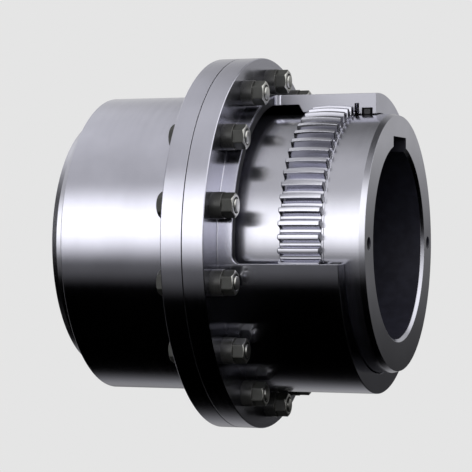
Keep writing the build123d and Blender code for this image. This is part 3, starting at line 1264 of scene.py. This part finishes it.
@dataclass(frozen=True)
class Fasteners:
    """The flange bolts with their nuts and collars, all with a hexagon corner up."""

    places: Places = Places()
    shank: float = 8.0
    head_across: float = 26.0
    head_height: float = 12.0
    nut_across: float = 24.0
    nut_height: float = 13.0
    collar: float = 14.496
    collar_height: float = 13.0
    stick_out: float = 1.6
    thread_pitch: float = 2.0
    thread_depth: float = 1.1
    thread_lead: float = 2.0
    thread_fade: float = 3.0
    thread_rows: int = 49
    nose: float = 1.3
    nose_round: tuple[float, float] = (0.15, 0.3)
    shank_round: float = 0.2
    nut_room: float = 0.1
    nut_sink: float = 1.1
    nut_back_sink: float = 0.8
    hole_room: float = 0.25
    collar_round: float = 0.5
    corner_trim: float = 0.12
    face_share: float = 0.475
    cone_angle: float = 30.0

    @property
    def collar_end(self) -> float:
        """Where the collars meet the nuts."""
        return self.places.flange_face + self.collar_height

    @property
    def nut_end(self) -> float:
        """Where the nuts end."""
        return self.collar_end + self.nut_height

    def hex_rows(self, across: float, end: float, base: float) -> np.ndarray:
        """A hexagon's sides under an end that is turned to a flat round face and a shallow cone.

        Where the hexagon's radius is R and the round face's F, the cone meets the side at
        x = end -+ (R - F) tan(cone_angle). Every edge is broken by a few tenths.

        Args:
            across: Width over two flats.
            end: x of the turned end.
            base: x of the other end.

        Returns:
            Rows of (x, r) for every angle, from the round face's rim to the base.
        """
        radius = hexagon_radius(hexagon_angles(), across, self.corner_trim)
        rim = self.face_share * across
        way = math.copysign(1.0, end - base)
        drop = end - way * np.maximum(0.0, radius - rim) * math.tan(math.radians(self.cone_angle))
        sides = [
            (end, rim - 0.3),
            (end - way * 0.05, rim),
            (drop + way * 0.02, radius - 0.18),
            (drop - way * 0.18, radius),
            (base + way * 0.35, radius),
            (base, radius - 0.35),
        ]
        return np.stack([self.ring_row(x, r) for x, r in sides])

    @staticmethod
    def ring_row(x: np.ndarray | float, r: np.ndarray | float) -> np.ndarray:
        """One row of (x, r), the same for every angle of the hexagon where it is a plain number."""
        count = len(hexagon_angles())
        return np.stack([np.broadcast_to(x, count), np.broadcast_to(r, count)], axis=1)

    def bolt(self, y: float, z: float) -> Skin:
        """One bolt: a chamfered hexagon head, a shank and a threaded end.

        The thread's radius is the shank's less the depth times a triangle wave of x over the pitch
        plus the angle's share of a turn.

        Args:
            y: Station across the axis.
            z: Station's height.

        Returns:
            Its surface, closed.
        """
        angles = hexagon_angles()
        face, tip = self.places.flange_face, self.nut_end + self.stick_out
        top = -face - self.head_height
        run = np.linspace(self.collar_end - self.thread_lead, tip - self.nose, self.thread_rows)
        phase = run[:, None] / self.thread_pitch + angles[None] / FULL_TURN
        wave = np.abs(2.0 * (phase - np.floor(phase + 0.5)))
        fade = np.clip((run - run[0]) / self.thread_fade, 0.0, 1.0)[:, None]
        radii = self.shank - self.thread_depth * wave * fade
        thread = np.stack([np.broadcast_to(run[:, None], radii.shape), radii], axis=2)
        crown = [self.ring_row(top, 0.0), self.ring_row(top, self.shank / 2)]
        under = self.shank_round
        neck = [self.ring_row(-face, self.shank + under), self.ring_row(-face + under, self.shank)]
        back, drop = self.nose_round
        flat = self.shank - self.nose
        nose = [(tip - back, flat), (tip, flat - drop), (tip, 0.0)]
        rows = [
            np.stack(crown),
            self.hex_rows(self.head_across, top, -face),
            np.stack(neck),
            thread,
            np.stack([self.ring_row(x, r) for x, r in nose]),
        ]
        spots, skin = np.concatenate(rows), Skin()
        look = np.full((len(spots) - 1, 1), FastenerLook.BLACKENED)
        look[-len(nose) :] = FastenerLook.BARE
        skin.grid(turned(spots, angles, (y, z)), look=look)
        return skin

    def nut(self, skin: Skin, y: float, z: float) -> None:
        """Adds one nut, turned at its outer end, with a countersunk bore.

        Its bare strips are the turned rim and cone, the worn edge at its base and the outer face.

        Args:
            skin: Surface that takes it.
            y: Station across the axis.
            z: Station's height.
        """
        bore, start, end = self.shank + self.nut_room, self.collar_end, self.nut_end
        back, sink = self.nut_back_sink, self.nut_sink
        inside = [(start, bore + back), (start + back, bore), (end - sink, bore), (end, bore + sink)]
        rows = [
            self.hex_rows(self.nut_across, end, start),
            np.stack([self.ring_row(x, r) for x, r in inside]),
        ]
        spots = np.concatenate(rows)
        look = np.full((len(spots), 1), FastenerLook.BLACKENED)
        look[[0, 1, 2, 4, -1]] = FastenerLook.BARE
        skin.grid(turned(spots, hexagon_angles(), (y, z)), wrap_rows=True, look=look)

    def collar_ring(self, skin: Skin, y: float, z: float) -> None:
        """Adds one round collar with softly broken edges.

        Args:
            skin: Surface that takes it.
            y: Station across the axis.
            z: Station's height.
        """
        bore, face, end = self.shank + self.hole_room, self.places.flange_face, self.collar_end
        box = np.array([(face, bore), (face, self.collar), (end, self.collar), (end, bore)])
        path = rounded_corners(box, self.collar_round)
        skin.grid(turned(path, even_angles(72), (y, z)), wrap_rows=True)

    def build(self) -> list[bpy.types.Object]:
        """Makes the bolts, nuts and collars in place of the CAD ones.

        Returns:
            The pieces.
        """
        pieces, nuts, collars = [], Skin(), Skin()
        for number, (y, z) in enumerate(self.places.stations(), start=1):
            bolt = self.bolt(y, z).piece(f"threaded_bolt_{number:02d}", Finish.FASTENER, Finish.NUT_FACE)
            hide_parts(f"flange_bolt_{number:02d}")
            pieces.append(bolt)
            self.nut(nuts, y, z)
            self.collar_ring(collars, y, z)
        nut_piece = nuts.piece("turned_hex_nuts", Finish.FASTENER, Finish.NUT_FACE, smooth_below=25.0)
        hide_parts("hex_nuts")
        collar_piece = collars.piece("turned_collars", Finish.COLLAR)
        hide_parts("spacer_collars")
        pieces += [nut_piece, collar_piece]
        for piece in pieces:
            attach(piece, "sleeve_body")
        return pieces


@dataclass(frozen=True)
class SealRings:
    """The seal rings in the sleeves' end grooves. The right one stops at the window's two planes."""

    places: Places = Places()
    start: float = 144.65
    width: float = 9.6
    inner: float = 145.966
    height: float = 7.6
    corner: float = 1.9
    cut_face: float = 0.72
    columns: int = 240

    def section(self) -> np.ndarray:
        """The ring's rounded section as a closed loop of (x, r)."""
        x, r = self.start, self.inner
        box = np.array([(x, r), (x, r + self.height), (x + self.width, r + self.height), (x + self.width, r)])
        return rounded_corners(box, self.corner, 5)

    def whole(self) -> Skin:
        """The uncut ring on the right-hand side."""
        skin = Skin()
        skin.grid(turned(self.section(), even_angles(self.columns)), wrap_rows=True)
        return skin

    def cut(self) -> Skin:
        """The ring cut by the window.

        At each radius the ring runs from the angle where y = -near, past the back, to the angle where
        z = -low in front, so both ends are flat.

        Returns:
            Its surface, closed by a fan at each end.
        """
        path = self.section()
        radius = path[:, 1]
        near = FULL_TURN / 4 + np.arcsin(self.places.window_near / radius)
        low = np.arcsin(self.places.window_low / radius) - FULL_TURN / 2
        share = np.linspace(0.0, 1.0, self.columns)
        angles = near[:, None] + (low - near)[:, None] * share[None]
        points = turned(path[:, None, :], angles)
        skin = Skin()
        skin.grid(points, wrap_rows=True, wrap_columns=False)
        rim = np.arange(len(path))
        fan = np.stack([rim, np.roll(rim, -1), np.full(len(path), len(path))], axis=1)
        # Painted shadow: each cut end keeps a rim of the black seal finish round its paler middle, standing
        # in for the groove's shadow.
        for loop in (points[:, 0], points[:, -1]):
            middle = loop.mean(axis=0)
            inner = middle + (loop - middle) * self.cut_face
            skin.grid(np.stack([loop, inner]))
            skin.patch(np.concatenate([inner, middle[None]]), fan, look=1)
        return skin

    def build(self) -> list[bpy.types.Object]:
        """Makes both rings in place of the CAD ones.

        Returns:
            The two pieces.
        """
        pieces = []
        for side, surface in (("left", self.whole().mirrored()), ("right", self.cut())):
            piece = surface.piece(f"{side}_rubber_seal", Finish.SEAL, Finish.SEAL_CUT, smooth_below=40.0)
            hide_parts(f"{side}_seal")
            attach(piece, f"{side}_seal_body")
            pieces.append(piece)
        return pieces


@dataclass(frozen=True)
class Gasket:
    """The sheet between the flanges, pressed out a little into a rounded rim."""

    places: Places = Places()
    thickness: float = 1.0
    outer: float = 211.151
    inner: float = 159.0
    hole: float = 8.25
    outer_bulge: float = 0.35
    bore_bulge: float = 0.25

    def build(self) -> bpy.types.Object:
        """Makes the gasket in place of the CAD one.

        Across its thickness u from -1 to 1 the rim and the bore give way by their bulge times u^2.

        Returns:
            The piece.
        """
        skin, half = Skin(), self.thickness / 2
        u = np.linspace(-1.0, 1.0, 7)
        rim = turned(np.stack([half * u, self.outer - self.outer_bulge * u**2], axis=1), even_angles(360))
        bore = turned(np.stack([half * u, self.inner + self.bore_bulge * u**2], axis=1), even_angles(240))
        wall = np.array([(-half, self.hole), (half, self.hole)])
        holes = [turned(wall, even_angles(36), (y, z)) for y, z in self.places.stations()]
        for grid in (rim, bore, *holes):
            skin.grid(grid)
        for side, row in ((-half, 0), (half, -1)):
            skin.flat_face(side, [grid[row][:, 1:] for grid in (rim, bore, *holes)])
        piece = skin.piece("pressed_gasket", Finish.GASKET)
        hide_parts("flange_gasket")
        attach(piece, "sleeve_body")
        return piece


@dataclass(frozen=True)
class Sleeves:
    """The sleeves with their flanges, whose CAD shapes stay and take the turned finish."""

    nodes: tuple[str, ...] = ("left_sleeve", "right_sleeve", "left_flange", "right_flange")

    def dress(self) -> list[bpy.types.Object]:
        """Gives the nodes their material.

        Returns:
            The nodes' objects.
        """
        pieces = [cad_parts[name] for name in self.nodes]
        for piece in pieces:
            piece.data.materials.clear()
            piece.data.materials.append(Finish.SLEEVE.material())
        return pieces


def report(label: str, pieces: list[bpy.types.Object]) -> None:
    """Logs what was made.

    Args:
        label: Name of the sub-assembly.
        pieces: Its pieces.
    """
    for piece in pieces:
        log.info("%s: %s, %d faces", label, piece.name, len(piece.data.polygons))


def main() -> None:
    """Builds the studio and the coupling, one sub-assembly after the other."""
    logging.basicConfig(level=logging.INFO, format="%(message)s")
    bpy.context.scene.view_settings.view_transform = "Standard"
    studio = Studio()
    studio.build_world()
    studio.build_floor()
    PhotoCamera().build()
    report("sleeves", Sleeves().dress())
    report("hubs", Hub().build())
    report("fasteners", Fasteners().build())
    report("seals", SealRings().build())
    report("gasket", [Gasket().build()])
    bpy.context.view_layer.update()


if __name__ == "__main__":
    main()
